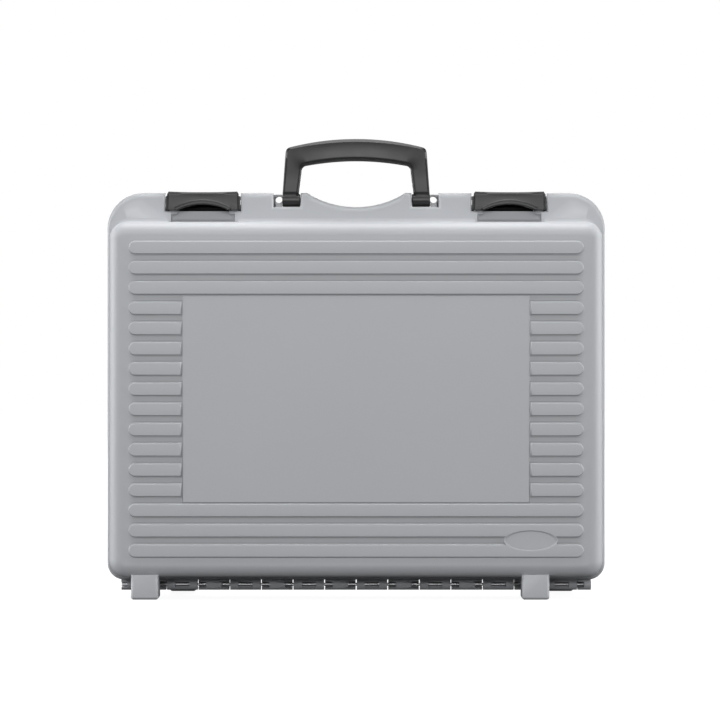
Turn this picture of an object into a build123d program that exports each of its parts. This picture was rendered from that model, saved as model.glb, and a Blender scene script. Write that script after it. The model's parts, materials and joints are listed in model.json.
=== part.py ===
"""Plastic carry case: two identical half shells on a knuckle hinge, two latches and a folding handle.

Millimetres. +Z is up, the front faces -Y, the parting plane of the two shells is y = 0 and the
feet stand on z = 0. A shell is modelled as the front one; turned half a turn about Z it is the rear one.
"""

import os

from build123d import *

# Overall case
case_width = 458.0
case_top = 371.1
half_depth = 50.0
overrun = 2.0

# Half shell: walls and body
wall = 3.0
draft = 2.0
body_step = 3.2
body_top_step = 26.9
body_bottom_step = 3.2
body_corner = 17.4
face_round = 13.0
cavity_round = 10.0

# Half shell: rim and neck along the parting plane
rim_bottom = 14.8
rim_top_corner = 32.5
rim_bottom_corner = 15.5
neck_depth = 14.0
neck_round = 2.4
core_wall = 3.2
core_rib = 2.6

# Half shell: ribbed face, with full rows above and below and short ones either side of a panel
rib_count = 16
rib_full_rows = 3
rib_rise = 2.0
rib_draft = 30.0
rib_width = 13.2
rib_round = 1.0
rib_side_margin = 22.6
rib_top_margin = 25.4
rib_bottom_margin = 26.6
rib_short_length = 49.1
panel_rise = 1.3
panel_round = 0.5

# Half shell: bare oval badge between the last two rows
badge_rows_up = 0.5
badge_side_margin = 71.1
badge_half_width = 24.5
badge_half_height = 10.2
badge_rim = 1.5
badge_sink = 0.6
badge_slope = 40.0

# Feet, one nearer its end of the case than the other
foot_left_margin = 37.5
foot_right_margin = 66.3
foot_width = 24.9
foot_front_margin = 3.0
foot_back_gap = 12.0
foot_round = 2.5
foot_top_rise = 4.5

# Hinge along the bottom edge
hinge_drop = 5.5
hinge_end_margin = 11.85
knuckle_radius = 5.1
knuckle_gap = 0.9
knuckle_pairs = 7
stub_length = 12.4
hinge_pin_radius = 1.4
pin_clearance = 0.05
window_height = 4.8
window_centre_width = 13.3
window_end_width = 7.0
stub_web = 1.0

# Handle and its seats in the neck
handle_sink = 6.6
handle_parting_gap = 0.5
barrel_radius = 6.0
barrel_inner_share = 0.1125
barrel_length = 16.6
barrel_side_gap = 0.4
barrel_floor_gap = 0.5
leg_width = 14.9
leg_lean = 3.6
leg_inner_step = 1.5
leg_corner_rise = 41.0
leg_slim_rise = 16.0
leg_full_rise = 32.0
grip_rise = 49.3
grip_height = 21.0
grip_half_depth = 10.5
grip_outer_corner = 5.0
grip_inner_corner = 4.5
handle_round = 2.2
handle_pin_radius = 2.0
handle_pin_reach = 14.0
handle_pin_inset = 3.0
handle_pin_end_gap = 0.5

# Scoop in the neck between the handle's legs, and the lug left beside it
lug_width = 5.8
scoop_depth = 13.0

# Padlock eye beside each handle barrel
eye_radius = 3.35
eye_offset = 3.3
eye_rise = 1.0
eye_tab_depth = 6.0
eye_tab_width = 5.9
eye_web_depth = 3.0
eye_seat_width = 7.5
eye_tab_drop = 1.2

# Latches and their seats in the neck
latch_margin_share = 0.1921
latch_width_share = 0.1386
latch_side_gap = 2.95
latch_floor_gap = 0.5
latch_seat_depth = 16.8
latch_crown = 0.5
latch_thickness = 2.6
latch_front_stand = 1.5
latch_corner_round = 1.6
latch_pivot_rise = 4.1
latch_boss_radius = 3.25
latch_pin_radius = 1.5
latch_pin_inset = 0.5
latch_rail_drop = 3.0
latch_rail_height = 2.2
latch_rail_front = 9.0
latch_rib = 2.0
corner_block_width = 6.5
corner_block_height = 4.6
corner_block_stand = 1.3
corner_block_round = 0.6

# Cheeks in each latch seat: the latch pivots on one shell's and catches on the other's
cheek_inner_share = 0.378
cheek_width_share = 0.11
cheek_face_gap = 2.0
cheek_thickness = 6.0
cheek_rise = 7.6
cheek_mouth = 2.4
cheek_front_round = 3.2
cheek_gap = 0.35
cheek_sweep_gap = 1.2
snap_depth = 0.9
snap_bite = 0.5
snap_low = 0.7
snap_height = 2.2
snap_play = 0.4

# Finger lip of the latch and the pocket under it
lip_half_width_share = 0.406
lip_rise = 7.4
lip_thickness = 2.5
lip_stand = 5.0
lip_base_rise = 2.3
finger_half_width_share = 0.465
finger_depth = 5.0
finger_round = 4.0

# Worked out from the sizes above
half_width = case_width / 2
field_depth = half_depth - rib_rise
body_width = case_width - 2 * body_step
body_top = case_top - body_top_step
body_bottom = rim_bottom + body_bottom_step
body_height = body_top - body_bottom
body_mid = (body_top + body_bottom) / 2
rib_reach = half_width - rib_side_margin
rib_first_z = body_top - rib_top_margin
rib_pitch = (rib_first_z - body_bottom - rib_bottom_margin) / (rib_count - 1)
panel_half_width = rib_reach - rib_short_length
hinge_z = rim_bottom - hinge_drop
hinge_reach = half_width - hinge_end_margin
knuckle_pitch = (hinge_reach - stub_length) / knuckle_pairs
stub_window = (stub_length - knuckle_gap / 2 - stub_web) / 2
handle_y = -barrel_radius - handle_parting_gap
handle_z = case_top - handle_sink
barrel_inner = case_width * barrel_inner_share
barrel_outer = barrel_inner + barrel_length
seat_inner = barrel_inner - barrel_side_gap
seat_outer = barrel_outer + barrel_side_gap + eye_seat_width
seat_floor = handle_z - barrel_radius - barrel_floor_gap
scoop_half_width = seat_inner - lug_width
scoop_radius = (scoop_half_width**2 + scoop_depth**2) / (2 * scoop_depth)
leg_outer_top = barrel_outer - leg_lean
leg_inner_top = leg_outer_top - leg_width
leg_inner_foot = barrel_inner + leg_inner_step
leg_corner_z = case_top + leg_corner_rise
grip_top = case_top + grip_rise
latch_x = half_width - case_width * latch_margin_share
latch_width = case_width * latch_width_share
latch_top = case_top + latch_crown
latch_seat_z = case_top - latch_seat_depth
seat_half_width = latch_width / 2 + latch_side_gap
cheek_inner = latch_width * cheek_inner_share
cheek_width = latch_width * cheek_width_share
cheek_outer = cheek_inner + cheek_width
cheek_front = neck_depth - cheek_face_gap
cheek_back = cheek_front - cheek_thickness
latch_pivot_y = (cheek_front + cheek_back) / 2
latch_pivot_z = latch_seat_z + latch_pivot_rise
snap_high = snap_low + snap_height
lip_half_width = latch_width * lip_half_width_share
finger_half_width = latch_width * finger_half_width_share


def front_plane(x, z, depth):
    """Plane that looks forward, with its origin at x, z and at a depth in front of the parting plane."""
    return Plane(origin=(x, -depth, z), x_dir=(1, 0, 0), z_dir=(0, -1, 0))


def block(x0, x1, depth0, depth1, z0, z1):
    """Box between two x, two depths in front of the parting plane and two heights."""
    size = Box(x1 - x0, abs(depth1 - depth0), z1 - z0)
    return Pos((x0 + x1) / 2, -(depth0 + depth1) / 2, (z0 + z1) / 2) * size


def rod_along_x(x0, x1, y, z, radius):
    """Round bar or bore parallel to X."""
    return Plane(origin=(x0, y, z), z_dir=(1, 0, 0)) * extrude(Circle(radius), x1 - x0)


def both_sides(piece):
    """A piece and its mirror image on the other side of x = 0."""
    return [piece, mirror(piece, about=Plane.YZ)]


def rim_outline():
    """Outline of the rim and neck, seen from the front."""
    height = case_top - rim_bottom
    outline = Rectangle(case_width, height)
    rows = outline.vertices().group_by(Axis.Y)
    outline = fillet(rows[-1], rim_top_corner)
    rows = outline.vertices().group_by(Axis.Y)
    outline = fillet(rows[0], rim_bottom_corner)
    return Pos(0, (case_top + rim_bottom) / 2) * outline


def neck_outline():
    """Rim outline with the scoop, the handle seats and the latch seats cut out of its top edge."""
    outline = rim_outline()
    outline -= Pos(0, case_top - scoop_depth + scoop_radius) * Circle(scoop_radius)
    handle_seat = Rectangle(seat_outer - seat_inner, 2 * (case_top - seat_floor))
    latch_seat = Rectangle(2 * seat_half_width, 2 * (case_top - latch_seat_z))
    for side in (-1, 1):
        outline -= Pos(side * (seat_inner + seat_outer) / 2, case_top) * handle_seat
        outline -= Pos(side * latch_x, case_top) * latch_seat
    return outline


def make_body():
    """Drafted tray with rounded front edges, solid at this stage."""
    outline = RectangleRounded(body_width, body_height, body_corner)
    body = extrude(front_plane(0, body_mid, 0) * outline, field_depth, taper=draft)
    front = body.faces().sort_by(Axis.Y)[0]
    return fillet(front.edges(), face_round)


def make_cavity():
    """Space inside the tray."""
    outline = RectangleRounded(body_width - 2 * wall, body_height - 2 * wall, body_corner - wall)
    outline = front_plane(0, body_mid, -overrun) * outline
    cavity = extrude(outline, field_depth - wall + overrun, taper=draft)
    front = cavity.faces().sort_by(Axis.Y)[0]
    return fillet(front.edges(), cavity_round)


def make_neck():
    """Rim all round the parting plane, which stands above the body as the neck."""
    slab = extrude(front_plane(0, 0, 0) * neck_outline(), neck_depth)
    front = slab.faces().sort_by(Axis.Y)[0]
    return fillet(front.edges(), neck_round)


def make_neck_cores():
    """Pockets moulded into the neck from the parting plane, with ribs left between them."""
    low = body_top + core_wall
    high = case_top - core_wall
    lug = seat_inner - core_wall
    spans = [
        (seat_outer + core_wall, latch_x - seat_half_width - core_wall, high),
        (latch_x + seat_half_width + core_wall, half_width - rim_top_corner, high),
        (core_rib, scoop_half_width / 2, case_top - scoop_depth - core_wall),
        (scoop_half_width / 2 + core_rib, lug, case_top - scoop_depth - core_wall),
    ]
    return [
        block(x0, x1, -overrun, neck_depth - core_wall, low, top)
        for x0, x1, top in spans
    ]


def rib_rows():
    """Height of each rib and whether it runs the full width."""
    for row in range(rib_count):
        full = row < rib_full_rows or row >= rib_count - rib_full_rows
        yield rib_first_z - row * rib_pitch, full


def make_ribs():
    """Raised pads of the face: full rows above and below, short ones either side of the panel."""
    pads = []
    stadium = SlotOverall(2 * rib_reach, rib_width)
    stub = SlotOverall(2 * rib_short_length, rib_width)
    stub &= Pos(-rib_short_length / 2, 0) * Rectangle(rib_short_length, rib_width)
    for z, full in rib_rows():
        place = front_plane(0 if full else -panel_half_width, z, field_depth)
        pad = place * extrude(stadium if full else stub, rib_rise, taper=rib_draft)
        pad = fillet(pad.faces().sort_by(Axis.Y)[0].edges(), rib_round)
        pads += [pad] if full else both_sides(pad)
    return pads


def make_panel():
    """Flat panel in the middle of the face, a little lower than the ribs."""
    top = rib_first_z - (rib_full_rows - 1) * rib_pitch - rib_width / 2
    bottom = rib_first_z - (rib_count - rib_full_rows) * rib_pitch + rib_width / 2
    outline = Rectangle(2 * panel_half_width, top - bottom)
    panel = front_plane(0, (top + bottom) / 2, field_depth) * extrude(outline, panel_rise, taper=rib_draft)
    return fillet(panel.faces().sort_by(Axis.Y)[0].edges(), panel_round)


def make_badge(half_width_here, half_height_here, depth0, depth1, slope=0):
    """Oval slab on the last two rib rows, wider towards the front by its slope in degrees."""
    z = rib_first_z - (rib_count - 1 - badge_rows_up) * rib_pitch
    oval = extrude(Ellipse(half_width_here, half_height_here), depth1 - depth0, taper=-slope)
    return front_plane(half_width - badge_side_margin, z, depth0) * oval


def make_feet():
    """Two feet under the body wall."""
    feet = []
    top = body_bottom + foot_top_rise
    back = neck_depth + foot_back_gap
    front = half_depth - foot_front_margin
    for x in (foot_left_margin - half_width, half_width - foot_right_margin):
        foot = block(x - foot_width / 2, x + foot_width / 2, back, front, 0, top)
        upright = foot.edges().filter_by(Axis.Z)
        sole = foot.faces().sort_by(Axis.Z)[0].edges()
        feet.append(fillet(upright + sole, foot_round))
    return feet


def knuckle_spans():
    """Ends of each knuckle of one shell along the hinge, first the short one at the end."""
    yield -hinge_reach, -hinge_reach + stub_length - knuckle_gap / 2
    for step in range(-knuckle_pairs + 1, knuckle_pairs, 2):
        start = step * knuckle_pitch
        yield start + knuckle_gap / 2, start + knuckle_pitch - knuckle_gap / 2


def make_knuckles():
    """Knuckles with a web up to the rim, bored for the pin, with windows where the pin shows."""
    knuckles = []
    for x0, x1 in knuckle_spans():
        barrel = rod_along_x(x0, x1, 0, hinge_z, knuckle_radius)
        web = block(x0, x1, 0, knuckle_radius, hinge_z, rim_bottom + neck_round)
        knuckle = barrel + web
        knuckle -= rod_along_x(x0 - overrun, x1 + overrun, 0, hinge_z, hinge_pin_radius + pin_clearance)
        low = hinge_z - window_height / 2
        high = hinge_z + window_height / 2
        reach = knuckle_radius + overrun
        if x1 - x0 > knuckle_pitch / 2:
            middle = (x0 + x1) / 2
            half = window_centre_width / 2
            knuckle -= block(middle - half, middle + half, 0, reach, low, high)
            knuckle -= block(x0 - overrun, x0 + window_end_width, -reach, 0, low, high)
            knuckle -= block(x1 - window_end_width, x1 + overrun, -reach, 0, low, high)
        else:
            knuckle -= block(x0 - overrun, x0 + stub_window, 0, reach, low, high)
            knuckle -= block(x1 - stub_window, x1 + overrun, -reach, 0, low, high)
        knuckles.append(knuckle)
    return knuckles


def make_eye_tabs():
    """Padlock eyes beside the handle barrels."""
    tab_inner = barrel_outer + barrel_side_gap
    tab_outer = tab_inner + eye_tab_width
    eye_x = barrel_outer + eye_offset
    top = case_top - eye_tab_drop
    tab = block(tab_inner, tab_outer, 0, eye_tab_depth, seat_floor - wall, top)
    tab += block(tab_inner, seat_outer + wall, 0, eye_web_depth, seat_floor - wall, top)
    tab -= front_plane(eye_x, handle_z + eye_rise, -overrun) * extrude(
        Circle(eye_radius), eye_tab_depth + 2 * overrun
    )
    return both_sides(tab)


def make_cheeks():
    """Upright cheeks in each latch seat: latch pivots on one shell, catches on the other."""
    cheeks = []
    top = latch_seat_z + cheek_rise
    for side in (-1, 1):
        for end in (-1, 1):
            x = side * latch_x + end * (cheek_inner + cheek_outer) / 2
            half = (cheek_outer - cheek_inner) / 2
            cheek = block(x - half, x + half, cheek_back, cheek_front, latch_seat_z - wall, top)
            crest = cheek.faces().sort_by(Axis.Z)[-1].edges().filter_by(Axis.X)
            cheek = fillet(crest.sort_by(Axis.Y)[-1], latch_corner_round)
            crest = cheek.faces().sort_by(Axis.Z)[-1].edges().filter_by(Axis.X)
            cheek = fillet(crest.sort_by(Axis.Y)[0], cheek_front_round)
            cheek -= block(x - half - overrun, x + half + overrun, cheek_front - snap_depth,
                           cheek_front + overrun, latch_seat_z + snap_low, latch_seat_z + snap_high)
            cheek -= rod_along_x(x - half - overrun, x + half + overrun, -latch_pivot_y, latch_pivot_z,
                                 latch_pin_radius + pin_clearance)
            cheek -= block(x - half - overrun, x + half + overrun, latch_pivot_y - cheek_mouth / 2,
                           latch_pivot_y + cheek_mouth / 2, latch_pivot_z, top + overrun)
            cheeks.append(cheek)
    return cheeks


def make_finger_pockets():
    """Shallow pockets in the neck face under the latches."""
    pockets = []
    for side in (-1, 1):
        x = side * latch_x
        pocket = block(x - finger_half_width, x + finger_half_width, neck_depth - finger_depth,
                       neck_depth + overrun, body_top, latch_seat_z + overrun)
        inner = pocket.faces().sort_by(Axis.Y)[-1].edges()
        lower = inner.filter_by(Axis.X).sort_by(Axis.Z)[0:1]
        pockets.append(fillet(inner.filter_by(Axis.Z) + lower, finger_round))
    return pockets


def make_shell():
    """One half shell, as the front one."""
    shell = make_body() + make_neck()
    shell += make_ribs()
    shell += make_panel()
    shell += make_badge(badge_half_width, badge_half_height, field_depth - wall / 2, half_depth)
    shell -= make_badge(badge_half_width - badge_rim, badge_half_height - badge_rim,
                        half_depth - badge_sink, half_depth + overrun, badge_slope)
    shell += make_feet()
    shell -= make_cavity()
    shell -= make_neck_cores()
    shell -= make_finger_pockets()
    shell += make_knuckles()
    shell += make_eye_tabs()
    shell += make_cheeks()
    bore = rod_along_x(0, seat_inner + overrun, handle_y, handle_z, handle_pin_radius + pin_clearance)
    return shell - both_sides(bore)


def make_handle():
    """Bow handle with a barrel at the foot of each leg."""
    arc_radius = (leg_outer_top**2 + (grip_top - leg_corner_z) ** 2) / (2 * (grip_top - leg_corner_z))
    under_radius = arc_radius - grip_height
    centre_z = grip_top - arc_radius
    under_z = centre_z + (under_radius**2 - leg_inner_top**2) ** 0.5
    outer = Polyline((-leg_outer_top, leg_corner_z), (-barrel_outer, handle_z),
                     (barrel_outer, handle_z), (leg_outer_top, leg_corner_z))
    outer += ThreePointArc((leg_outer_top, leg_corner_z), (0, grip_top), (-leg_outer_top, leg_corner_z))
    inner = Polyline((-leg_inner_top, under_z), (-leg_inner_foot, case_top), (-leg_inner_foot, handle_z - overrun),
                     (leg_inner_foot, handle_z - overrun), (leg_inner_foot, case_top), (leg_inner_top, under_z))
    inner += ThreePointArc((leg_inner_top, under_z), (0, grip_top - grip_height), (-leg_inner_top, under_z))
    outer = make_face(outer)
    outer = fillet(outer.vertices().group_by(Axis.Y)[-1], grip_outer_corner)
    inner = make_face(inner)
    inner = fillet(inner.vertices().group_by(Axis.Y)[-1], grip_inner_corner)
    bow = front_plane(0, 0, -grip_half_depth) * extrude(outer - inner, 2 * grip_half_depth)
    slim_z = case_top + leg_slim_rise
    full_z = case_top + leg_full_rise
    side = Polyline((-barrel_radius, handle_z), (-barrel_radius, slim_z), (-grip_half_depth, full_z),
                    (-grip_half_depth, grip_top + overrun), (grip_half_depth, grip_top + overrun),
                    (grip_half_depth, full_z), (barrel_radius, slim_z), (barrel_radius, handle_z), close=True)
    side = Plane(origin=(-half_width, 0, 0), x_dir=(0, 1, 0), z_dir=(1, 0, 0)) * make_face(side)
    bow &= extrude(side, case_width)
    bow = fillet(bow.faces().filter_by(GeomType.CYLINDER).edges().filter_by(GeomType.CIRCLE), handle_round)
    handle = Pos(0, handle_y, 0) * bow
    for side in (-1, 1):
        x0, x1 = sorted((side * barrel_inner, side * barrel_outer))
        handle += rod_along_x(x0, x1, handle_y, handle_z, barrel_radius)
    bore_end = barrel_inner + handle_pin_reach
    bore = rod_along_x(barrel_inner - overrun, bore_end, handle_y, handle_z, handle_pin_radius + pin_clearance)
    for piece in both_sides(bore):
        handle -= piece
    return handle


def make_handle_pin():
    """Steel pin pressed through the lug into the right barrel."""
    rise = scoop_radius - scoop_depth + case_top - handle_z
    flank = (scoop_radius**2 - rise**2) ** 0.5
    end = barrel_inner + handle_pin_reach - handle_pin_end_gap
    return rod_along_x(flank + handle_pin_inset, end, handle_y, handle_z, handle_pin_radius)


def make_latch():
    """Latch on the right seat: front plate, top plate, rear boss, finger lip and snap ridges."""
    half = latch_width / 2
    front = -neck_depth - latch_front_stand
    bottom = latch_seat_z + latch_floor_gap
    back = latch_pivot_y + latch_boss_radius
    under = latch_top - latch_thickness
    section = Polyline((front, bottom), (front, latch_top), (back, latch_top), (back, latch_pivot_z),
                       (back - latch_thickness, latch_pivot_z), (back - latch_thickness, under),
                       (front + latch_thickness, under), (front + latch_thickness, bottom), close=True)
    section = make_face(section)
    outer = section.vertices().group_by(Axis.Y)[-1]
    section = fillet(outer, latch_corner_round)
    side_plane = Plane(origin=(latch_x - half, 0, 0), x_dir=(0, 1, 0), z_dir=(1, 0, 0))
    latch = side_plane * extrude(section, latch_width)
    boss_half = cheek_inner - cheek_gap
    ear_inner = cheek_outer + cheek_gap
    ear_outer = seat_half_width - cheek_gap
    for x0, x1 in ((-boss_half, boss_half), (ear_inner, ear_outer), (-ear_outer, -ear_inner)):
        latch += rod_along_x(latch_x + x0, latch_x + x1, latch_pivot_y, latch_pivot_z, latch_boss_radius)
    rail_low = under - latch_rail_drop
    for side in (-1, 1):
        x0, x1 = sorted((side * (half - latch_rib), side * half))
        latch += block(latch_x + x0, latch_x + x1, -latch_pivot_y, latch_rail_front, rail_low, under)
        x0, x1 = sorted((side * (half - latch_rib), side * ear_outer))
        latch += block(latch_x + x0, latch_x + x1, -latch_pivot_y, latch_rail_front, rail_low,
                       rail_low + latch_rail_height)
    for side in (-1, 1):
        x0, x1 = sorted((side * (cheek_inner - cheek_gap), side * (cheek_outer + cheek_gap)))
        latch -= block(latch_x + x0, latch_x + x1, -back - overrun, -cheek_back + cheek_gap,
                       bottom - overrun, latch_seat_z + cheek_rise + cheek_sweep_gap)
    lip_outer = (lip_half_width**2 + lip_rise**2) / (2 * lip_rise)
    base = bottom + lip_base_rise
    centre = front_plane(latch_x, base + lip_rise - lip_outer, -front)
    window = Rectangle(2 * lip_half_width, 2 * lip_rise)
    window = Pos(0, lip_outer - lip_rise + lip_rise) * window
    band = (Circle(lip_outer) - Circle(lip_outer - lip_thickness)) & window
    hollow = Circle(lip_outer - lip_thickness) & window
    open_half = lip_half_width - lip_thickness
    hollow += Pos(0, lip_outer - lip_rise - lip_base_rise) * Rectangle(2 * open_half, 2 * lip_base_rise)
    latch += centre * extrude(band, lip_stand)
    latch -= centre * Pos(0, 0, -latch_thickness - overrun) * extrude(hollow, latch_thickness + 2 * overrun)
    for side in (-1, 1):
        x0, x1 = sorted((side * half, side * (half - corner_block_width)))
        corner = block(latch_x + x0, latch_x + x1, -front, corner_block_stand - front, bottom,
                       bottom + corner_block_height)
        latch += fillet(corner.faces().sort_by(Axis.Y)[0].edges(), corner_block_round)
    for side in (-1, 1):
        x0, x1 = sorted((side * (cheek_inner + cheek_gap), side * (cheek_outer - cheek_gap)))
        latch += block(latch_x + x0, latch_x + x1, cheek_front - snap_bite, -front - latch_thickness / 2,
                       latch_seat_z + snap_low + snap_play, latch_seat_z + snap_high - snap_play)
    bore = rod_along_x(latch_x - ear_outer - overrun, latch_x + ear_outer + overrun, latch_pivot_y,
                       latch_pivot_z, latch_pin_radius + pin_clearance)
    return latch - bore


def make_latch_pin():
    """Steel pin through the right latch, sprung into the slots of the rear shell's cheeks."""
    reach = seat_half_width - cheek_gap - latch_pin_inset
    return rod_along_x(latch_x - reach, latch_x + reach, latch_pivot_y, latch_pivot_z, latch_pin_radius)


def make_hinge_pin():
    """Steel rod through all the knuckles."""
    return rod_along_x(-hinge_reach, hinge_reach, 0, hinge_z, hinge_pin_radius)


os.makedirs("parts", exist_ok=True)

front_shell = make_shell()
rear_shell = Rot(0, 0, 180) * front_shell
export_step(front_shell, "parts/front_shell.step")
export_step(rear_shell, "parts/rear_shell.step")
export_step(make_hinge_pin(), "parts/hinge_pin.step")
export_step(make_handle(), "parts/handle.step")

right_and_left = {
    "handle_pin": make_handle_pin(),
    "latch": make_latch(),
    "latch_pin": make_latch_pin(),
}
for name, piece in right_and_left.items():
    export_step(piece, f"parts/{name}_right.step")
    export_step(mirror(piece, about=Plane.YZ), f"parts/{name}_left.step")
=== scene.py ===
"""Looks of a plastic carry case: two grey half shells, a folding handle and two latches.

Metres. +Z is up, the front faces -Y and the two shells meet at y = 0. The pieces of the frame come
merged and smoothed, and each gets a moulded or drawn finish worked out from Object coordinates.
The bow handle, the lips, fronts and webs of the latches, and the coves and saddles of the neck are
surfaces worked out here.
"""

import json
import math

import bmesh
import bpy
import numpy as np
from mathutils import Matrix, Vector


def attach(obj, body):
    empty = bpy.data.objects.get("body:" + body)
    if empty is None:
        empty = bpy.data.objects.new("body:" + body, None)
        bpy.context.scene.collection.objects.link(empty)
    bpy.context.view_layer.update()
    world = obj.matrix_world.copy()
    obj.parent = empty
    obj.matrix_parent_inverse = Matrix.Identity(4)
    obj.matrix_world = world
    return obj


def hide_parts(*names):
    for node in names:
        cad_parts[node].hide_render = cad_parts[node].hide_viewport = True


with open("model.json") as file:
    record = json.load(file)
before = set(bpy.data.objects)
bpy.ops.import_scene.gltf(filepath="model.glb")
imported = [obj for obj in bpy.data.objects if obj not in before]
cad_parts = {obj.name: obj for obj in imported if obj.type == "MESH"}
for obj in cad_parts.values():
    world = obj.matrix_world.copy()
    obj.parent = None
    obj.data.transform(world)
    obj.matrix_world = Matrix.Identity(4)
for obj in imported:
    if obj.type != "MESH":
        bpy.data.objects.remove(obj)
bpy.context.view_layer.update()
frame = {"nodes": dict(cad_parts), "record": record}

MM = 0.001
HALF_TURN = math.pi

# Smoothing of the merged nodes and of the made surfaces
MERGE_DISTANCE = 0.002
FLAT_COSINE = 0.99998
FLAT_WIDTH = 2.5
STRONG_FACE = 16384
FACE_WEIGHT = 50
NODE_SHARP_ANGLE = 32.0
MADE_SHARP_ANGLE = 40.0

# Camera: the photograph is square-on from the front, a little right of the middle
SENSOR = 36.0
CAMERA_DISTANCE = 2.0
CAMERA_LENS = 107.9
CAMERA_X = 3.55 * MM
CAMERA_Z = 217.1 * MM

# Studio in metres: a pale floor, and softboxes above, in front, behind and at both sides
FLOOR_SIZE = 14.0
FLOOR_ROUGHNESS = 0.9
FLOOR_TONE = 0.06
FLOOR_GLOW = 0.93
GLOW_NEAR = 0.45
GLOW_FAR = 0.9
WORLD_TONE = 0.053
TOP_POWER = 38.6
TOP_Z = 1.9
TOP_SIZE = 1.5
FRONT_POWER = 68.5
FRONT_Y = 3.3
FRONT_Z = 1.25
FRONT_WIDTH = 2.4
FRONT_HEIGHT = 1.6
FRONT_AIM = 0.25
SIDE_POWER = 32.6
SIDE_X = 1.8
SIDE_Z = 0.45
SIDE_WIDTH = 1.5
SIDE_HEIGHT = 1.2
LOW_AIM = 0.2

# Half shell, with lengths in millimetres from here on: neck above the body, and the small cove between
NECK_DEPTH = 14.0
BODY_HALF_WIDTH = 225.8
BODY_TOP = 344.2
BODY_CORNER = 17.4
COVE = 4.0
COVE_LEAST = 0.02
COVE_SINK = 0.5
COVE_FADE = (0.5, 1.35)
POCKET_X = 141.0
POCKET_EDGE = (29.5, 32.5)

# Handle: outline of a leg and the grip seen from the front, then depths and edges
HANDLE_Y = -6.5
HANDLE_Z = 364.5
CASE_TOP = 371.1
LEG_OUTER_FOOT = 68.2
LEG_OUTER_TOP = 64.8
LEG_INNER_FOOT = 52.8
LEG_INNER_TOP = 49.6
LEG_CORNER_Z = 412.1
GRIP_TOP = 420.4
GRIP_HEIGHT = 19.1
WINDOW_CORNER = 4.5
OUTER_CORNER = 1.8
LEG_HALF_DEPTH = 6.0
LEG_FOOT_HALF_DEPTH = 4.7
GRIP_HALF_DEPTH = 10.5
LEG_SLIM_LENGTH = 20.0
LEG_FULL_LENGTH = 80.0
LEG_OVERLAP = 2.5
FOOT_STEP = (369.9, 371.7)
LEG_BEVEL = 1.7
GRIP_BEVEL = 2.8
BEVEL_SHARE = 0.75
INNER_ROUND = 2.8
FACE_HOLLOW = 0.45
BARREL_INNER = 51.5
BARREL_OUTER = 68.1
BARREL_RADIUS = 6.0
BARREL_ROUND = 0.9
BARREL_BORE = 2.05
BARREL_BORE_END = 65.5
POLE_RADIUS = 0.01

# Latch: skin over the front plate, arched finger lip, and a wing in the gap at each end
LATCH_X = 141.0
LATCH_SKIN_HALF_WIDTH = 32.8
LATCH_FRONT = 15.5
LATCH_TOP = 371.5
LATCH_BOTTOM = 354.9
SKIN_RISE = 0.7
SKIN_END = 1.4
SKIN_CORNER = 2.0
SKIN_THINNING = 0.5
SKIN_HALF_DEPTH = 1.45
SKIN_STAND = 0.3
SKIN_HOLLOW = 0.18
SKIN_BEVEL = 1.7
SKIN_ROUND = 0.5
LIP_HALF_WIDTH = 25.8
LIP_BASE_Z = 357.1
LIP_RISE = 7.6
LIP_THICKNESS = 4.6
LIP_FRONT = 20.6
LIP_TAPER = 0.35
LIP_BEVEL = 2.1
LIP_ROUND = 0.6
LIP_SINK = 0.8
WING_INNER = 31.6
WING_OUTER = 34.3
WING_BOTTOM = 355.2
WING_TOP = 369.2
WING_DROP = 1.6
WING_DEPTH = 11.2
WING_HALF_DEPTH = 0.9
WING_ROUND = 0.5

# Soft edge of the neck, and the saddle over the scoop
CASE_HALF_WIDTH = 229.0
RIM_CORNER = 32.5
SCOOP_RADIUS = 85.514
SCOOP_Z = 443.614
NECK_ROUND = 2.4
EDGE_SLACK = 0.03
SOFT_ROUND = 5.2
SOFT_HEIGHTS = (335.0, 356.0)
SOFT_CORNER = 3.0
SADDLE_END = 0.8
SADDLE_STAND = 0.1
SADDLE_THICKNESS = 1.2
SADDLE_SEAM = 0.12

# Points along each curve and across each face of the made surfaces
ROUND_STEPS = 7
ARC_STEPS = 10
PIVOT_ROUNDS = 12
LEG_STEPS = 46
WINDOW_STEPS = 26
GRIP_STEPS = 40
GRIP_FACE = 15
BARREL_SIDES = 56
COVE_STEPS = 260
COVE_END_STEPS = 40
SADDLE_STEPS = 90
LIP_STEPS = 60
LIP_FACE = 3
SKIN_STEPS = 150
SKIN_FACE = 9
WING_STEPS = 8
WING_FACE = 2

# Ribs and badge: pairs are the values at which a mask is 0 and 1
RIB_Z = 318.8
RIB_PITCH = 18.28
RIB_HALF_HEIGHT = 6.4
RIB_CROWN = 0.14
RIB_ENDS = (207.0, 198.0)
RIB_TOPS = (49.4, 49.7)
ROWS_MIDDLE = 181.7
ROWS_ENDS = (144.5, 142.5)
BADGE_X = 157.9
BADGE_Z = 53.74
BADGE_HALF_WIDTH = 23.6
BADGE_HALF_HEIGHT = 9.3
BADGE_LINE = 0.55
BADGE_EDGE = (0.78, 1.06)
BADGE_FACES = (49.0, 49.3)

# Painted shade of the shells, in the grooves, along the ribs and in the finger pockets, with the same kind
# of pairs
PAINTED_SHADE_TONE = (0.23, 0.235, 0.245)
GROOVE_PAINTED_SHADE = 0.3
GROOVE_FLOOR = (47.4, 47.8)
GROOVE_WALL = (49.1, 48.1)
CREASE_PAINTED_SHADE = 0.4
CREASE_RISE = (6.1, 6.6)
CREASE_FALL = (7.7, 7.0)
POCKET_PAINTED_SHADE = 0.5
POCKET_FLOOR = (13.4, 12.6)
POCKET_FOOT = (334.0, 336.0)

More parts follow.
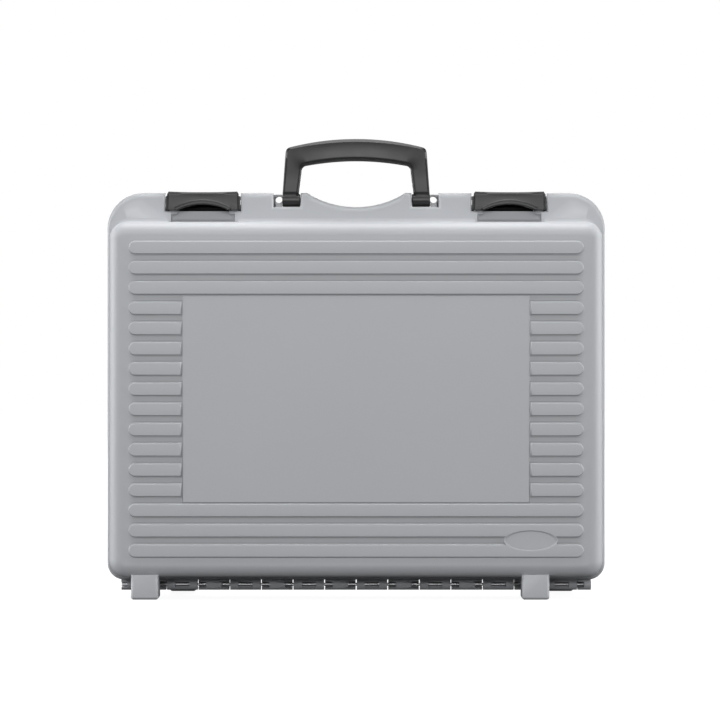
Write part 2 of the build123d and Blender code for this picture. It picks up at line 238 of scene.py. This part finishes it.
# Finishes: tone and its spread, roughness and its parts, and scales in features a metre
CLOUD_SCALE = 9.0
CLOUD_SHARE = 0.6
MARK_ROUGH = 0.62
MARK_GLOSS = 0.12
SHELL_TONE = (0.412, 0.422, 0.444)
SHELL_SPREAD = 0.035
SHELL_MARKS = 60.0
SHELL_GRAIN = 2600.0
SHELL_GRAIN_DEPTH = 0.02
SHELL_ROUGHNESS = 0.4
SHELL_GRAIN_GLOSS = 0.06
FITTING_TONE = (0.017, 0.017, 0.0175)
FITTING_SPREAD = 0.08
FITTING_MARKS = 90.0
FITTING_GRAIN = 3200.0
FITTING_GRAIN_DEPTH = 0.015
FITTING_ROUGHNESS = 0.3
FITTING_GRAIN_GLOSS = 0.05
STEEL_TONE = (0.62, 0.62, 0.63)
STEEL_DARK = 0.9
STEEL_LIGHT = 1.08
STEEL_LINES = (60.0, 4000.0, 4000.0)
STEEL_ROUGHNESS = 0.22
STEEL_LINE_GLOSS = 0.16


class Socket:
    """An output of a node. Sums, products and powers of sockets and numbers add Math nodes."""

    def __init__(self, tree, output):
        self.tree = tree
        self.output = output

    def math(self, operation, first, second):
        """Math node of an operation on two sockets or numbers."""
        node = self.tree.nodes.new("ShaderNodeMath")
        node.operation = operation
        for place, value in zip(node.inputs, (first, second)):
            join(self.tree, place, value)
        return Socket(self.tree, node.outputs[0])

    def __add__(self, other):
        return self.math("ADD", self, other)

    def __radd__(self, other):
        return self.math("ADD", other, self)

    def __sub__(self, other):
        return self.math("SUBTRACT", self, other)

    def __mul__(self, other):
        return self.math("MULTIPLY", self, other)

    def __rmul__(self, other):
        return self.math("MULTIPLY", other, self)

    def __rsub__(self, other):
        return self.math("SUBTRACT", other, self)

    def __truediv__(self, other):
        return self.math("DIVIDE", self, other)

    def __pow__(self, other):
        return self.math("POWER", self, other)


def abs_of(value):
    """A socket without its sign."""
    return value.math("ABSOLUTE", value, 0.0)


def join(tree, place, value):
    """Links a socket to an input, or sets a number or colour on it."""
    if isinstance(value, Socket):
        tree.links.new(value.output, place)
    else:
        place.default_value = value


class Finish:
    """A material with one Principled shader and a short way to add any other node."""

    def __init__(self, name, **constants):
        self.material = bpy.data.materials.new(name)
        self.material.use_nodes = True
        self.tree = self.material.node_tree
        self.shader = self.tree.nodes["Principled BSDF"]
        for socket, value in constants.items():
            self.shader.inputs[socket.replace("_", " ")].default_value = value

    def node(self, kind, settings=None, output=0, **sockets):
        """Adds a node of a type, sets its settings, then its sockets, and gives one of its outputs."""
        node = self.tree.nodes.new("ShaderNode" + kind)
        for key, value in (settings or {}).items():
            if key == "stops":
                fill_ramp(node.color_ramp, value)
            else:
                setattr(node, key, value)
        for name, value in sockets.items():
            join(self.tree, node.inputs[name.replace("_", " ")], value)
        return Socket(self.tree, node.outputs[output])

    def place(self):
        """Object coordinates."""
        return self.node("TexCoord", output="Object")

    def noise(self, scale, detail=2.0, rough=0.5, place=None):
        """Cloudy noise between 0 and 1 with features of about 1 / scale metres."""
        place = place or self.place()
        return self.node("TexNoise", Vector=place, Scale=scale, Detail=detail, Roughness=rough)

    def axes(self):
        """The three Object coordinates in millimetres."""
        node = self.tree.nodes.new("ShaderNodeSeparateXYZ")
        join(self.tree, node.inputs[0], self.place())
        return [Socket(self.tree, output) * (1.0 / MM) for output in node.outputs]

    def fade(self, value, low, high):
        """Smooth step from 0 at low to 1 at high."""
        settings = {"interpolation_type": "SMOOTHSTEP"}
        return self.node("MapRange", settings, Value=value, From_Min=low, From_Max=high)

    def ramp(self, value, *stops):
        """Straight line from one value to another between two stops."""
        return self.node("ValToRGB", {"stops": stops}, Fac=value)

    def tint(self, factor, first, second):
        """Mix of two colours."""
        node = self.tree.nodes.new("ShaderNodeMix")
        node.data_type = "RGBA"
        join(self.tree, node.inputs[0], factor)
        join(self.tree, node.inputs[6], first)
        join(self.tree, node.inputs[7], second)
        return Socket(self.tree, node.outputs[2])

    def bump(self, height, depth):
        """Normal of a height, with the length in metres that a height of 1 stands for."""
        return self.node("Bump", Height=height, Strength=1.0, Distance=depth)

    def feed(self, **sockets):
        """Joins sockets or values to inputs of the shader."""
        for name, value in sockets.items():
            join(self.tree, self.shader.inputs[name.replace("_", " ")], value)


def fill_ramp(ramp, stops):
    """Stops are pairs of a position and a grey level."""
    while len(ramp.elements) < len(stops):
        ramp.elements.new(1.0)
    for element, (position, level) in zip(ramp.elements, stops):
        element.position = position
        element.color = (level, level, level, 1.0)


def rgba(tone, gain=1.0):
    """Opaque colour of a tone times a gain."""
    return tuple(channel * gain for channel in tone) + (1.0,)


def shell_finish():
    """Grey moulded plastic: fine grain, faint flow clouds and handling marks.

    Painted shade darkens the grooves, more of it along the feet of the ribs, and the finger pockets.
    Shallow relief crowns each rib as a parabola and draws the line round the oval badge.
    """
    finish = Finish("shell_plastic", IOR=1.49)
    x, y, z = finish.axes()
    clouds = finish.noise(CLOUD_SCALE, detail=3.0)
    marks = finish.noise(SHELL_MARKS, detail=5.0, rough=MARK_ROUGH)
    grain = finish.noise(SHELL_GRAIN)
    shade = clouds * CLOUD_SHARE + marks * (1.0 - CLOUD_SHARE)
    out = abs_of(y)
    field = finish.fade(abs_of(x), *RIB_ENDS) * finish.fade(abs_of(z - ROWS_MIDDLE), *ROWS_ENDS)
    height = z - RIB_Z
    from_rib = height.math("PINGPONG", height, RIB_PITCH / 2)

    # Painted shade: the groove floors, lines along both feet of every rib, and the finger pocket floors are
    # darkened
    crease = finish.fade(from_rib, *CREASE_RISE) * finish.fade(from_rib, *CREASE_FALL)
    groove = finish.fade(out, *GROOVE_WALL) * finish.fade(out, *GROOVE_FLOOR) * field
    pocket = finish.fade(out, *POCKET_FLOOR) * finish.fade(z, *POCKET_FOOT)
    painted_shade = groove * (GROOVE_PAINTED_SHADE + crease * CREASE_PAINTED_SHADE) + pocket * POCKET_PAINTED_SHADE
    grey = finish.tint(shade, rgba(SHELL_TONE, 1.0 - SHELL_SPREAD), rgba(SHELL_TONE, 1.0 + SHELL_SPREAD))
    # Mixes the grey towards the colour of the painted shade
    finish.feed(Base_Color=finish.tint(painted_shade, grey, rgba(PAINTED_SHADE_TONE)))
    finish.feed(Roughness=SHELL_ROUGHNESS + marks * MARK_GLOSS + grain * SHELL_GRAIN_GLOSS)

    # The rear badge is the front one turned half a turn, so x takes the sign of y
    from_badge = x * (y / out) + BADGE_X
    oval = (from_badge / BADGE_HALF_WIDTH) ** 2.0 + ((z - BADGE_Z) / BADGE_HALF_HEIGHT) ** 2.0
    ring = finish.fade(oval, *BADGE_EDGE) * finish.fade(out, *BADGE_FACES)
    crown = 1.0 - (from_rib / RIB_HALF_HEIGHT) ** 2.0
    crown = crown.math("MAXIMUM", crown, 0.0) * finish.fade(out, *RIB_TOPS) * field
    relief = grain * SHELL_GRAIN_DEPTH + ring * BADGE_LINE + crown * RIB_CROWN
    finish.feed(Normal=finish.bump(relief, MM))
    return finish.material


def fitting_finish():
    """Dark moulded plastic with a satin face, finer and glossier than the shells."""
    finish = Finish("fitting_plastic", IOR=1.45)
    marks = finish.noise(FITTING_MARKS, detail=5.0, rough=MARK_ROUGH)
    grain = finish.noise(FITTING_GRAIN)
    dark, light = rgba(FITTING_TONE, 1.0 - FITTING_SPREAD), rgba(FITTING_TONE, 1.0 + FITTING_SPREAD)
    finish.feed(Base_Color=finish.tint(marks, dark, light))
    finish.feed(Roughness=FITTING_ROUGHNESS + marks * MARK_GLOSS + grain * FITTING_GRAIN_GLOSS)
    finish.feed(Normal=finish.bump(grain, FITTING_GRAIN_DEPTH * MM))
    return finish.material


def steel_finish():
    """Drawn steel rod with fine lines along its length."""
    finish = Finish("pin_steel", Metallic=1.0, IOR=2.5)
    along = finish.node("Mapping", Vector=finish.place(), Scale=STEEL_LINES)
    lines = finish.noise(1.0, detail=3.0, rough=0.6, place=along)
    finish.feed(Base_Color=finish.tint(lines, rgba(STEEL_TONE, STEEL_DARK), rgba(STEEL_TONE, STEEL_LIGHT)))
    finish.feed(Roughness=STEEL_ROUGHNESS + lines * STEEL_LINE_GLOSS)
    return finish.material


finishes = {
    "shell_plastic": shell_finish(),
    "fitting_plastic": fitting_finish(),
    "pin_steel": steel_finish(),
}
slots = {part["node"]: part["material_slot"] for part in frame["record"]["subparts"]}
bodies = frame["record"]["behaviour"]["bodies"]
body_of = {node: body for body, nodes in bodies.items() for node in nodes}
SHELLS = ("front_shell", "rear_shell")
LATCHES = ("latch_left", "latch_right")


def level_step(value, low, high):
    """0 below low, 1 above high, and level at both ends."""
    share = np.clip((value - low) / (high - low), 0.0, 1.0)
    return share * share * (3.0 - 2.0 * share)


def smoothed(node):
    """Copy of a node with its triangles merged, smooth over fillets and sharp over edges."""
    source = frame["nodes"][node]
    mesh = source.data.copy()
    mesh.name = node + "_skin"
    piece = bpy.data.objects.new(node + "_skin", mesh)
    bpy.context.scene.collection.objects.link(piece)
    if node in SHELLS:
        soften_neck(mesh)
    if node in LATCHES:
        sink_lip(mesh)
    weld(mesh)
    mesh.shade_smooth()
    mesh.set_sharp_from_angle(angle=math.radians(NODE_SHARP_ANGLE))
    weighted = piece.modifiers.new("weighted", "WEIGHTED_NORMAL")
    weighted.keep_sharp = True
    weighted.use_face_influence = True
    weighted.weight = FACE_WEIGHT
    return piece


def points_of(mesh):
    """Points of a mesh in millimetres, one per row."""
    points = np.empty(len(mesh.vertices) * 3)
    mesh.vertices.foreach_get("co", points)
    return points.reshape(-1, 3) / MM


def sink_lip(mesh):
    """Draws the finger lip of a latch back towards its plate, inside the arched lip in its place."""
    points = points_of(mesh)
    stand = np.maximum(-points[:, 1] - LATCH_FRONT, 0.0)
    points[:, 1] += stand * LIP_SINK
    mesh.vertices.foreach_set("co", (points * MM).ravel())


def soften_neck(mesh):
    """Widens the rounding along the neck's upper outline.

    A point's distance from the outline, and its distance behind the neck's face, grow by the same factor.
    The factor falls to 1 down the neck's sides, and at the corners where the scoop meets the level top.
    """
    points = points_of(mesh)
    x, y, z = points.T
    scoop = np.hypot(x, z - SCOOP_Z)
    span = np.maximum(np.abs(x) - (CASE_HALF_WIDTH - RIM_CORNER), 0.0)
    climb = np.maximum(z - (CASE_TOP - RIM_CORNER), 0.0)
    corner = np.hypot(span, climb)
    from_scoop, from_rim = scoop - SCOOP_RADIUS, RIM_CORNER - corner
    nearer_scoop = from_scoop < from_rim
    distance = np.where(nearer_scoop, from_scoop, from_rim)
    inward_x = np.where(nearer_scoop, x / scoop, -np.sign(x) * span / np.maximum(corner, 1.0))
    inward_z = np.where(nearer_scoop, (z - SCOOP_Z) / scoop, -climb / np.maximum(corner, 1.0))
    behind = NECK_DEPTH - np.abs(y)
    reach = NECK_ROUND + EDGE_SLACK
    on_edge = (distance < reach) & (behind < reach) & (behind > -EDGE_SLACK)
    growth = (SOFT_ROUND / NECK_ROUND - 1.0) * level_step(z, *SOFT_HEIGHTS) * on_edge
    growth *= level_step(np.abs(from_scoop - from_rim), 0.0, SOFT_CORNER)
    points[:, 0] += inward_x * distance * growth
    points[:, 2] += inward_z * distance * growth
    points[:, 1] -= np.sign(y) * behind * growth
    mesh.vertices.foreach_set("co", (points * MM).ravel())


def weld(mesh):
    """Merges the corners that triangles share, and marks wide flat faces, whose normals then prevail."""
    work = bmesh.new()
    work.from_mesh(mesh)
    bmesh.ops.remove_doubles(work, verts=work.verts, dist=MERGE_DISTANCE * MM)
    strength = work.faces.layers.int.new("__mod_weightednormals_faceweight")
    for start in work.faces:
        if start.tag:
            continue
        start.tag = True
        region, queue = [start], [start]
        while queue:
            for edge in queue.pop().edges:
                for other in edge.link_faces:
                    if not other.tag and other.normal.dot(start.normal) > FLAT_COSINE:
                        other.tag = True
                        region.append(other)
                        queue.append(other)
        area = sum(face.calc_area() for face in region)
        longest = max(edge.calc_length() for face in region for edge in face.edges)
        for face in region:
            face[strength] = STRONG_FACE if area > FLAT_WIDTH * MM * longest else 0
    work.to_mesh(mesh)
    work.free()


def dress(piece, node):
    """Gives a piece the finish and the body of a node."""
    piece.data.materials.clear()
    piece.data.materials.append(finishes[slots[node]])
    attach(piece, body_of[node])


def tube(name, rings):
    """Closed surface through rings of points in millimetres, with its end rings filled."""
    count, around = rings.shape[:2]
    index = np.arange(count * around).reshape(count, around)
    turned = np.roll(index, -1, axis=1)
    faces = np.stack([index[:-1], turned[:-1], turned[1:], index[1:]], axis=-1).reshape(-1, 4).tolist()
    faces += [index[0][::-1].tolist(), index[-1].tolist()]
    mesh = bpy.data.meshes.new(name)
    mesh.from_pydata((rings.reshape(-1, 3) * MM).tolist(), [], faces)
    work = bmesh.new()
    work.from_mesh(mesh)
    bmesh.ops.recalc_face_normals(work, faces=work.faces)
    if work.calc_volume(signed=True) < 0.0:
        bmesh.ops.reverse_faces(work, faces=work.faces)
    work.to_mesh(mesh)
    work.free()
    mesh.shade_smooth()
    mesh.set_sharp_from_angle(angle=math.radians(MADE_SHARP_ANGLE))
    return mesh


def merged(name, *meshes):
    """One object of several meshes."""
    work = bmesh.new()
    for mesh in meshes:
        work.from_mesh(mesh)
    whole = bpy.data.meshes.new(name)
    work.to_mesh(whole)
    work.free()
    piece = bpy.data.objects.new(name, whole)
    bpy.context.scene.collection.objects.link(piece)
    return piece


def band_section(half_width, half_depth, hollow, bevel, inner_round, face):
    """Rounded rectangle, as offsets along the width and towards the front.

    Straight sides joined by quarter circles on the inner side and by flat bevels on the outer side;
    the front and back sides sink as a parabola.
    """
    turn = np.linspace(0.0, HALF_TURN / 2, ROUND_STEPS)
    across = np.linspace(1.0, -1.0, face + 2)[1:-1]
    ones = np.ones((len(half_width), 1))
    sizes = (half_width, half_depth, hollow, bevel, inner_round)
    half_width, half_depth, hollow, bevel, inner_round = (np.reshape(size, (-1, 1)) for size in sizes)
    outer_x, inner_x = half_width - bevel, inner_round - half_width
    inner_y = half_depth - inner_round
    face_x = (outer_x + inner_x) / 2 + across * (outer_x - inner_x) / 2
    face_y = half_depth - hollow * (1.0 - across**2)
    front_x = [half_width, outer_x, face_x, inner_x - inner_round * np.sin(turn)]
    front_y = [half_depth - BEVEL_SHARE * bevel, half_depth, face_y, inner_y + inner_round * np.cos(turn)]
    front_x, front_y = (np.hstack([part * ones for part in parts]) for parts in (front_x, front_y))
    return np.hstack([front_x, front_x[:, ::-1]]), np.hstack([front_y, -front_y[:, ::-1]])


def handle_bow():
    """Right foot, leg, corner and half the grip as rays from the window's outline outwards.

    Rays are level along the leg, turn about the centre of the window's corner, then about the centre
    of the grip's arc. The left half is the mirror image.
    """
    rise = GRIP_TOP - LEG_CORNER_Z
    arc_radius = (LEG_OUTER_TOP**2 + rise**2) / (2 * rise)
    arc_z = GRIP_TOP - arc_radius
    under_radius = arc_radius - GRIP_HEIGHT
    inner_top_z = arc_z + math.sqrt(under_radius**2 - LEG_INNER_TOP**2)
    inner_lean = (LEG_INNER_FOOT - LEG_INNER_TOP) / (inner_top_z - CASE_TOP)
    outer_lean = (LEG_OUTER_FOOT - LEG_OUTER_TOP) / (LEG_CORNER_Z - HANDLE_Z)
    # The corner's centre lies its radius inside the leg's inner line and the grip's underside
    pivot_x, pivot_z = LEG_INNER_TOP - WINDOW_CORNER, inner_top_z - WINDOW_CORNER
    for _ in range(PIVOT_ROUNDS):
        pivot_x = LEG_INNER_FOOT - inner_lean * (pivot_z - CASE_TOP) - WINDOW_CORNER
        pivot_z = arc_z + math.sqrt((under_radius - WINDOW_CORNER) ** 2 - pivot_x**2)
    last = math.atan2(pivot_z - arc_z, pivot_x)

    leg_z = np.linspace(HANDLE_Z - LEG_OVERLAP, pivot_z, LEG_STEPS)
    leg_inner = np.stack([LEG_INNER_FOOT - inner_lean * (leg_z - CASE_TOP), leg_z], axis=1)
    leg_outer = np.stack([LEG_OUTER_FOOT - outer_lean * (leg_z - HANDLE_Z), leg_z], axis=1)

    turn = np.linspace(0.0, last, WINDOW_STEPS)[1:-1]
    ray = np.stack([np.cos(turn), np.sin(turn)], axis=1)
    pivot = np.array([pivot_x, pivot_z])
    outer_x = LEG_OUTER_FOOT - outer_lean * (pivot_z - HANDLE_Z)
    to_leg = (outer_x - pivot_x) / (ray[:, 0] + outer_lean * ray[:, 1])
    along = ray @ (pivot - np.array([0.0, arc_z]))
    to_arc = -along + np.sqrt(along**2 + arc_radius**2 - (under_radius - WINDOW_CORNER) ** 2)
    # A soft minimum of the two reaches rounds the outer corner
    reach = -OUTER_CORNER * np.log(np.exp(-to_leg / OUTER_CORNER) + np.exp(-to_arc / OUTER_CORNER))
    corner_inner = pivot + WINDOW_CORNER * ray
    corner_outer = pivot + reach[:, None] * ray

    sweep = np.linspace(last, HALF_TURN / 2, GRIP_STEPS)
    spoke = np.stack([np.cos(sweep), np.sin(sweep)], axis=1)
    hub = np.array([0.0, arc_z])
    inner = np.vstack([leg_inner, corner_inner, hub + under_radius * spoke])
    outer = np.vstack([leg_outer, corner_outer, hub + arc_radius * spoke])
    flip = np.array([-1.0, 1.0])
    inner = np.vstack([inner, (inner * flip)[-2::-1]])
    outer = np.vstack([outer, (outer * flip)[-2::-1]])

    middle = (inner + outer) / 2
    half_width = np.linalg.norm(outer - inner, axis=1) / 2
    outward = (outer - inner) / (2 * half_width[:, None])
    height = middle[:, 1]
    steps = np.linalg.norm(np.diff(middle, axis=0), axis=1)
    length = np.hstack([0.0, np.cumsum(steps)])
    fullness = level_step(np.minimum(length, length[-1] - length), LEG_SLIM_LENGTH, LEG_FULL_LENGTH)
    half_depth = LEG_HALF_DEPTH + (GRIP_HALF_DEPTH - LEG_HALF_DEPTH) * fullness
    half_depth -= (LEG_HALF_DEPTH - LEG_FOOT_HALF_DEPTH) * (1.0 - level_step(height, *FOOT_STEP))
    hollow = FACE_HOLLOW * fullness
    bevel = LEG_BEVEL + (GRIP_BEVEL - LEG_BEVEL) * fullness
    across, depth = band_section(half_width, half_depth, hollow, bevel, INNER_ROUND, GRIP_FACE)
    plan = middle[:, None, :] + across[:, :, None] * outward[:, None, :]
    return tube("bow", np.stack([plan[..., 0], HANDLE_Y - depth, plan[..., 1]], axis=-1))


def handle_barrel(side):
    """Barrel turned about its own axis, with a blind bore from the inner end."""
    turn = np.linspace(0.0, HALF_TURN / 2, ROUND_STEPS)
    shoulder = BARREL_RADIUS - BARREL_ROUND
    inner_edge = BARREL_INNER + BARREL_ROUND * (1.0 - np.sin(turn[::-1]))
    outer_edge = BARREL_OUTER - BARREL_ROUND * (1.0 - np.cos(turn[::-1]))
    inner_radius = shoulder + BARREL_ROUND * np.cos(turn[::-1])
    outer_radius = shoulder + BARREL_ROUND * np.sin(turn[::-1])
    x = np.hstack([BARREL_BORE_END, BARREL_BORE_END, BARREL_INNER, inner_edge, outer_edge, BARREL_OUTER])
    radius = np.hstack([POLE_RADIUS, BARREL_BORE, BARREL_BORE, inner_radius, outer_radius, POLE_RADIUS])
    around = np.linspace(0.0, 2 * HALF_TURN, BARREL_SIDES, endpoint=False)
    rings_x = np.repeat(side * x[:, None], BARREL_SIDES, axis=1)
    rings_y = HANDLE_Y - radius[:, None] * np.cos(around)
    rings_z = HANDLE_Z + radius[:, None] * np.sin(around)
    return tube("barrel", np.stack([rings_x, rings_y, rings_z], axis=-1))


def placed(points, turned):
    """Points for the front shell, or turned half a turn about the vertical for the rear one."""
    return points * np.array([-1.0, -1.0, 1.0]) if turned else points


def neck_cove(turned):
    """Concave quarter round along the corner of neck and body, down round the body's corners.

    Its radius fades out at the finger pockets and where the neck runs into the rim.
    """
    straight = np.linspace(0.0, BODY_HALF_WIDTH - BODY_CORNER, COVE_STEPS)
    turn = np.linspace(0.0, HALF_TURN / 2, COVE_END_STEPS)[1:]
    x = np.hstack([straight, straight[-1] + BODY_CORNER * np.sin(turn)])
    z = BODY_TOP - np.hstack([np.zeros_like(straight), BODY_CORNER * (1.0 - np.cos(turn))])
    lean = np.hstack([np.zeros_like(straight), turn])
    radius = COVE * (1.0 - level_step(lean, *COVE_FADE))
    radius = radius * level_step(np.abs(x - POCKET_X), *POCKET_EDGE) + COVE_LEAST
    x, lean = (np.hstack([-part[:0:-1], part])[:, None] for part in (x, lean))
    z, radius = (np.hstack([part[:0:-1], part])[:, None] for part in (z, radius))

    arc = np.linspace(0.0, HALF_TURN / 2, ARC_STEPS)
    rise = radius * (1.0 - np.sin(arc)) - COVE_SINK
    depth = NECK_DEPTH + radius * (1.0 - np.cos(arc))
    under = np.full_like(x, -2 * COVE_SINK)
    behind = np.full_like(x, NECK_DEPTH - COVE_SINK)
    rise = np.hstack([rise, under, under, rise[:, :1]])
    depth = np.hstack([depth, depth[:, -1:], behind, behind])
    points = np.stack([x + rise * np.sin(lean), -depth, z + rise * np.cos(lean)], axis=-1)
    return tube("cove", placed(points, turned))


def scoop_saddle(turned):
    """Rounded edge of the neck and a level strip up to the parting line, carried round the scoop's arc.

    The edge's radius grows from the node's to the softer one as the arc drops below the case's top.
    """
    limit = math.acos((SCOOP_Z - CASE_TOP + SADDLE_END) / SCOOP_RADIUS)
    sweep = np.linspace(-limit, limit, SADDLE_STEPS)[:, None]
    drop = CASE_TOP - SCOOP_Z + SCOOP_RADIUS * np.cos(sweep)
    radius = NECK_ROUND + (SOFT_ROUND - NECK_ROUND) * level_step(drop, 0.0, SOFT_CORNER)
    arc = np.linspace(0.0, HALF_TURN / 2, ARC_STEPS)
    inward = radius * (1.0 - np.sin(arc)) - SADDLE_STAND
    depth = NECK_DEPTH + SADDLE_STAND - radius * (1.0 - np.cos(arc))
    rest_inward = [-SADDLE_STAND, SADDLE_THICKNESS, SADDLE_THICKNESS]
    rest_depth = [SADDLE_SEAM, SADDLE_SEAM, NECK_DEPTH - SOFT_ROUND, NECK_DEPTH - SADDLE_THICKNESS]
    inward = np.hstack([inward, np.tile(rest_inward, (SADDLE_STEPS, 1)), radius])
    depth = np.hstack([depth, np.tile(rest_depth, (SADDLE_STEPS, 1))])
    reach = SCOOP_RADIUS + inward
    points = np.stack([reach * np.sin(sweep), -depth, SCOOP_Z - reach * np.cos(sweep)], axis=-1)
    return tube("saddle", placed(points, turned))


def latch_arch():
    """Radius and centre height of the lip's outer edge."""
    radius = (LIP_HALF_WIDTH**2 + LIP_RISE**2) / (2 * LIP_RISE)
    return radius, LIP_BASE_Z + LIP_RISE - radius


def upright(x, y, middle, up):
    """Points of upright sections: a place along x for each, and offsets up from its middle height."""
    return np.stack([np.repeat(x[:, None], up.shape[1], axis=1), y, middle[:, None] + up], axis=-1)


def latch_lip(side):
    """Arched lip as a band with rounded edges, swept along the arch and thinner to its ends."""
    outer, arch_z = latch_arch()
    limit = math.asin(LIP_HALF_WIDTH / outer)
    sweep = np.linspace(-limit, limit, LIP_STEPS)
    thin = LIP_THICKNESS / 2 * (1.0 - LIP_TAPER * (sweep / limit) ** 2)
    stand = np.full_like(sweep, LIP_FRONT - LATCH_FRONT)
    across, depth = band_section(thin, stand, 0.0, LIP_BEVEL * thin / thin.max(), LIP_ROUND, LIP_FACE)
    reach = outer - thin[:, None] + across
    x = side * LATCH_X + reach * np.sin(sweep)[:, None]
    z = arch_z + reach * np.cos(sweep)[:, None]
    return tube("lip", np.stack([x, -LATCH_FRONT - depth, z], axis=-1))


def latch_skin(side):
    """Front of the plate: upright bands whose lower end follows the arch and whose upper end sags."""
    outer, arch_z = latch_arch()
    x = np.linspace(-LATCH_SKIN_HALF_WIDTH, LATCH_SKIN_HALF_WIDTH, SKIN_STEPS)
    arch = arch_z + np.sqrt(outer**2 - np.minimum(np.abs(x), LIP_HALF_WIDTH) ** 2) - LIP_THICKNESS / 2
    low = np.where(np.abs(x) < LIP_HALF_WIDTH, np.maximum(arch, LATCH_BOTTOM), LATCH_BOTTOM)
    end = level_step(np.abs(x), LATCH_SKIN_HALF_WIDTH - SKIN_END, LATCH_SKIN_HALF_WIDTH)
    high = LATCH_TOP + SKIN_RISE * (x / LATCH_SKIN_HALF_WIDTH) ** 2 - SKIN_CORNER * end
    half_depth, bevel = SKIN_HALF_DEPTH - SKIN_THINNING * end, SKIN_BEVEL - SKIN_THINNING * end
    up, depth = band_section((high - low) / 2, half_depth, SKIN_HOLLOW, bevel, SKIN_ROUND, SKIN_FACE)
    y = SKIN_HALF_DEPTH - LATCH_FRONT - SKIN_STAND - depth
    return tube("skin", upright(side * LATCH_X + x, y, (high + low) / 2, up))


def latch_wing(side, end):
    """Thin upright web between an end of the plate and the wall of the seat."""
    x = np.linspace(WING_INNER, WING_OUTER, WING_STEPS)
    high = WING_TOP - WING_DROP * level_step(x, WING_INNER, WING_OUTER)
    half_height = (high - WING_BOTTOM) / 2
    up, depth = band_section(half_height, WING_HALF_DEPTH, 0.0, WING_ROUND, WING_ROUND, WING_FACE)
    place, middle = side * LATCH_X + end * x, WING_BOTTOM + half_height
    return tube("wing", upright(place, -WING_DEPTH - depth, middle, up))


made = {
    "handle": merged("handle_skin", handle_bow(), handle_barrel(1), handle_barrel(-1)),
}
for node in frame["nodes"]:
    piece = made.get(node) or smoothed(node)
    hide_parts(node)
    dress(piece, node)

dress(merged("front_cove", neck_cove(False)), "front_shell")
dress(merged("rear_cove", neck_cove(True)), "rear_shell")
dress(merged("front_saddle", scoop_saddle(False)), "front_shell")
dress(merged("rear_saddle", scoop_saddle(True)), "rear_shell")
for name, side in (("latch_left", -1), ("latch_right", 1)):
    parts = [latch_lip(side), latch_skin(side), latch_wing(side, -1), latch_wing(side, 1)]
    dress(merged(name + "_details", *parts), name)


def add_camera():
    """Level camera in front of the case that looks along +Y."""
    data = bpy.data.cameras.new("camera")
    data.lens = CAMERA_LENS
    data.sensor_width = SENSOR
    camera = bpy.data.objects.new("camera", data)
    camera.location = (CAMERA_X, -CAMERA_DISTANCE, CAMERA_Z)
    camera.rotation_euler = (HALF_TURN / 2, 0.0, 0.0)
    bpy.context.scene.collection.objects.link(camera)
    bpy.context.scene.camera = camera


def add_softbox(name, place, aim_z, width, height, power):
    """Rectangular area light that looks from a place at a height on the vertical through the middle."""
    data = bpy.data.lights.new(name, "AREA")
    data.shape = "RECTANGLE"
    data.size = width
    data.size_y = height
    data.energy = power
    lamp = bpy.data.objects.new(name, data)
    lamp.location = place
    aim = Vector((0.0, 0.0, aim_z)) - Vector(place)
    lamp.rotation_euler = aim.to_track_quat("-Z", "Y").to_euler()
    bpy.context.scene.collection.objects.link(lamp)


def add_world():
    """White where the camera looks past the floor, and a dim grey as light."""
    world = bpy.data.worlds.new("studio")
    bpy.context.scene.world = world
    world.use_nodes = True
    tree = world.node_tree
    path = tree.nodes.new("ShaderNodeLightPath")
    background = tree.nodes["Background"]
    seen = Socket(tree, path.outputs["Is Camera Ray"])
    strength = seen * (1.0 - WORLD_TONE) + WORLD_TONE
    join(tree, background.inputs["Color"], (1.0, 1.0, 1.0, 1.0))
    join(tree, background.inputs["Strength"], strength)


def add_floor():
    """Pale floor: a glow that only the camera sees, white far out, on a dark face that takes the shadow."""
    tone = (FLOOR_TONE, FLOOR_TONE, FLOOR_TONE, 1.0)
    finish = Finish("studio_floor", Roughness=FLOOR_ROUGHNESS, Base_Color=tone)
    path = Socket(finish.tree, finish.tree.nodes.new("ShaderNodeLightPath").outputs["Is Camera Ray"])
    radius = finish.node("VectorMath", {"operation": "LENGTH"}, output="Value", Vector=finish.place())
    glow = finish.ramp(radius, (GLOW_NEAR, FLOOR_GLOW), (GLOW_FAR, 1.0))
    finish.feed(Emission_Color=glow, Emission_Strength=path)
    corners = FLOOR_SIZE / 2 * np.array([[-1, -1, 0], [1, -1, 0], [1, 1, 0], [-1, 1, 0]])
    mesh = bpy.data.meshes.new("floor")
    mesh.from_pydata(corners.tolist(), [], [(0, 1, 2, 3)])
    mesh.materials.append(finish.material)
    floor = bpy.data.objects.new("floor", mesh)
    bpy.context.scene.collection.objects.link(floor)


add_camera()
add_world()
add_floor()
add_softbox("top_light", (0.0, 0.0, TOP_Z), LOW_AIM, TOP_SIZE, TOP_SIZE, TOP_POWER)
for side, face, flank in ((-1, "front_light", "left_light"), (1, "rear_light", "right_light")):
    add_softbox(face, (0.0, side * FRONT_Y, FRONT_Z), FRONT_AIM, FRONT_WIDTH, FRONT_HEIGHT, FRONT_POWER)
    add_softbox(flank, (side * SIDE_X, 0.0, SIDE_Z), LOW_AIM, SIDE_WIDTH, SIDE_HEIGHT, SIDE_POWER)

bpy.context.scene.view_settings.view_transform = "Standard"
